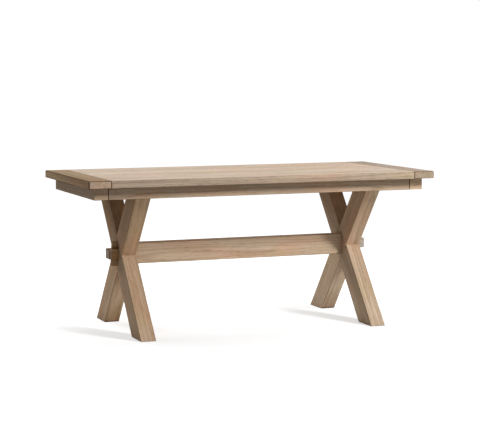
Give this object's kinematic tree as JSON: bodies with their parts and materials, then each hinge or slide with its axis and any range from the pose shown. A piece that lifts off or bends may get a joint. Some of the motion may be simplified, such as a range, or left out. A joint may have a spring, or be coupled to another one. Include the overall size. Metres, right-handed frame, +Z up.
{
  "type": "extending sawbuck table",
  "caption": "Extending dining table: plank top with pull-out ends on X-shaped trestles, joined by a stretcher held with through tenons and tusk keys.",
  "frame": {"origin": "on the floor, under the middle of the table top", "axes": "+Z up, +X along the table to its right-hand end, -Y is the front"},
  "size_m": [1.795, 0.835, 0.775],
  "materials": {
    "top_wood": "light weathered boards, matt",
    "end_board_wood": "light weathered boards, grain across the table, matt",
    "apron_wood": "light weathered wood, matt",
    "trestle_wood": "light weathered wood, matt",
    "inner_wood": "planed, unfinished",
    "pin_wood": "turned, unfinished",
    "screw_steel": "zinc plated"
  },
  "bodies": {
    "table": {"top_plank_1": "top_wood", "top_plank_2": "top_wood", "top_plank_3": "top_wood", "top_plank_4": "top_wood", "top_plank_5": "top_wood", "top_plank_6": "top_wood", "apron_front": "apron_wood", "apron_back": "apron_wood", "left_end_rail": "inner_wood", "left_bearer": "inner_wood", "left_mid_rail": "inner_wood", "right_end_rail": "inner_wood", "right_bearer": "inner_wood", "right_mid_rail": "inner_wood", "left_leg_front": "trestle_wood", "left_leg_back": "trestle_wood", "right_leg_front": "trestle_wood", "right_leg_back": "trestle_wood", "stretcher": "trestle_wood", "left_tusk_key": "trestle_wood", "right_tusk_key": "trestle_wood", "glue_blocks": "inner_wood", "top_screws": "screw_steel"},
    "left_end": {"left_end_board": "end_board_wood", "left_end_apron": "apron_wood", "left_apron_return_front": "apron_wood", "left_apron_return_back": "apron_wood", "left_runner_front": "inner_wood", "left_runner_back": "inner_wood", "left_corner_blocks": "inner_wood", "left_alignment_pins": "pin_wood", "left_stop_blocks": "inner_wood", "left_runner_screws": "screw_steel"},
    "right_end": {"right_end_board": "end_board_wood", "right_end_apron": "apron_wood", "right_apron_return_front": "apron_wood", "right_apron_return_back": "apron_wood", "right_runner_front": "inner_wood", "right_runner_back": "inner_wood", "right_corner_blocks": "inner_wood", "right_alignment_pins": "pin_wood", "right_stop_blocks": "inner_wood", "right_runner_screws": "screw_steel"}
  },
  "joints": [
    {"name": "left_end_slide", "type": "slide", "parent": "table", "child": "left_end", "axis": [-1, 0, 0], "range_m": [0, 0.457]},
    {"name": "right_end_slide", "type": "slide", "parent": "table", "child": "right_end", "axis": [1, 0, 0], "range_m": [0, 0.457]}
  ]
}
